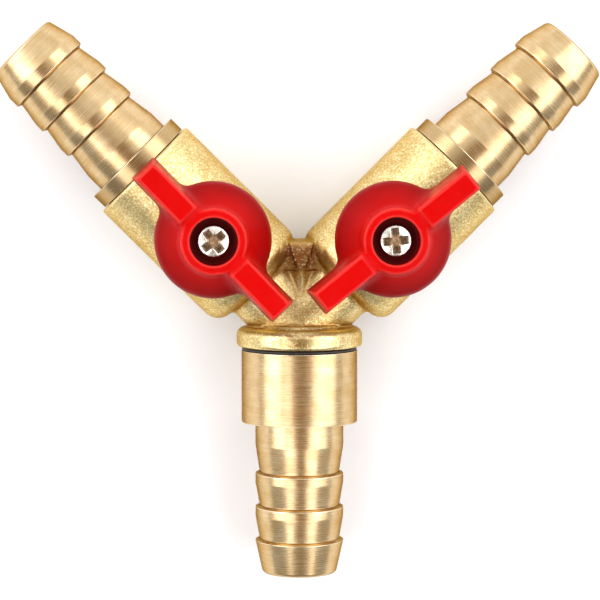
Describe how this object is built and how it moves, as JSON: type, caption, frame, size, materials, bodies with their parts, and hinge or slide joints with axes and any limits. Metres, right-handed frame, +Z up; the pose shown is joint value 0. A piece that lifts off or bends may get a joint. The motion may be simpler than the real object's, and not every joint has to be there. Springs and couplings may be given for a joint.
{
  "type": "hose splitter",
  "caption": "Brass Y hose splitter with barbed inlet and outlets and a quarter-turn ball valve with a red butterfly handle in each outlet arm.",
  "frame": {"origin": "under the middle of the bounding box, on the surface that the fitting lies on", "axes": "+Z up through the handles, +Y towards the outlets, -Y along the inlet, +X towards the right outlet"},
  "size_m": [0.0956, 0.0878, 0.0275],
  "materials": {
    "forged_brass": "blasted forging, fine grain",
    "turned_brass": "turned, fine lathe lines",
    "plated_ball": "polished plating",
    "plated_steel": "bright warm plating",
    "red_nylon": "semi-gloss moulded",
    "white_ptfe": "waxy",
    "black_rubber": "matt"
  },
  "bodies": {
    "housing": {"valve_body": "forged_brass", "inlet_barb": "turned_brass", "inlet_gasket": "black_rubber", "left_outlet_barb": "turned_brass", "left_inner_seat": "white_ptfe", "left_outer_seat": "white_ptfe", "right_outlet_barb": "turned_brass", "right_inner_seat": "white_ptfe", "right_outer_seat": "white_ptfe"},
    "left_valve": {"left_ball": "plated_ball", "left_stem": "turned_brass", "left_thrust_washer": "white_ptfe", "left_lower_o_ring": "black_rubber", "left_upper_o_ring": "black_rubber", "left_handle": "red_nylon", "left_handle_screw": "plated_steel"},
    "right_valve": {"right_ball": "plated_ball", "right_stem": "turned_brass", "right_thrust_washer": "white_ptfe", "right_lower_o_ring": "black_rubber", "right_upper_o_ring": "black_rubber", "right_handle": "red_nylon", "right_handle_screw": "plated_steel"}
  },
  "joints": [
    {"name": "left_valve_turn", "type": "hinge", "parent": "housing", "child": "left_valve", "pos_m": [-0.01397, 0.01013, 0.01005], "axis": [0, 0, -1], "range_deg": [-1, 89]},
    {"name": "right_valve_turn", "type": "hinge", "parent": "housing", "child": "right_valve", "pos_m": [0.01397, 0.01013, 0.01005], "axis": [0, 0, -1], "range_deg": [-6, 84]}
  ]
}
